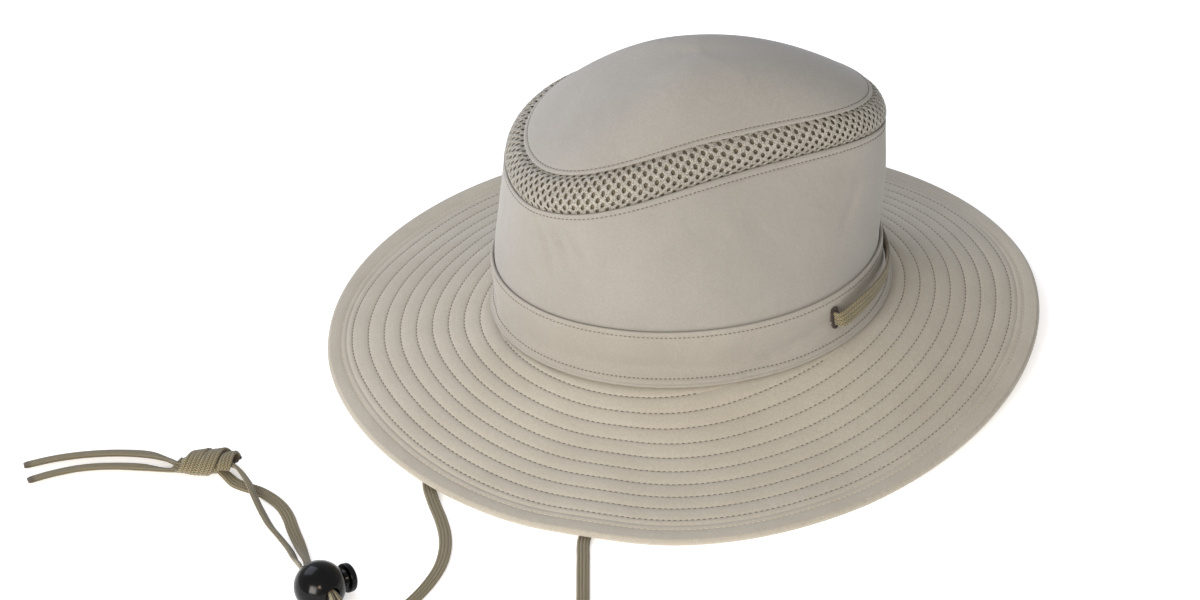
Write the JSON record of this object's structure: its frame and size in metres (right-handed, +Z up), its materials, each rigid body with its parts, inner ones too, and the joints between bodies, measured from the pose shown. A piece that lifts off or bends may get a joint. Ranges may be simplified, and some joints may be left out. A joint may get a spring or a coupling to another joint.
{
  "type": "safari hat with chin cord",
  "caption": "Soft sun hat with a quilted wide brim, a net ventilation band below a domed top, and a flat braided chin cord with a ball cord lock and a knot.",
  "frame": {"origin": "on the surface that the brim's rim rests on, under the middle of the brim", "axes": "+Z up, -Y the hat's front, -X the wearer's right"},
  "size_m": [0.4116, 0.5169, 0.1629],
  "materials": {
    "cloth": "matte",
    "quilt": "matte",
    "netting": "matte",
    "braid": "matte",
    "thread": "matte",
    "plastic": "gloss"
  },
  "bodies": {
    "hat": {"brim": "quilt", "side_crown": "cloth", "hat_band": "cloth", "mesh_band": "netting", "top_panel": "cloth", "buttonhole_right": "thread", "buttonhole_left": "thread", "cord_front": "braid", "cord_right": "braid", "cord_left": "braid", "knot": "braid", "cord_end_a": "braid", "cord_end_b": "braid", "toggle_ball": "plastic"},
    "button": {"toggle_button": "plastic"}
  },
  "joints": [
    {"name": "button_press", "type": "slide", "parent": "hat", "child": "button", "axis": [-0.4601, 0.8602, 0.22], "range_m": [0, 0.0026], "stiffness_N_per_m": 700, "springref_m": -0.0015}
  ]
}
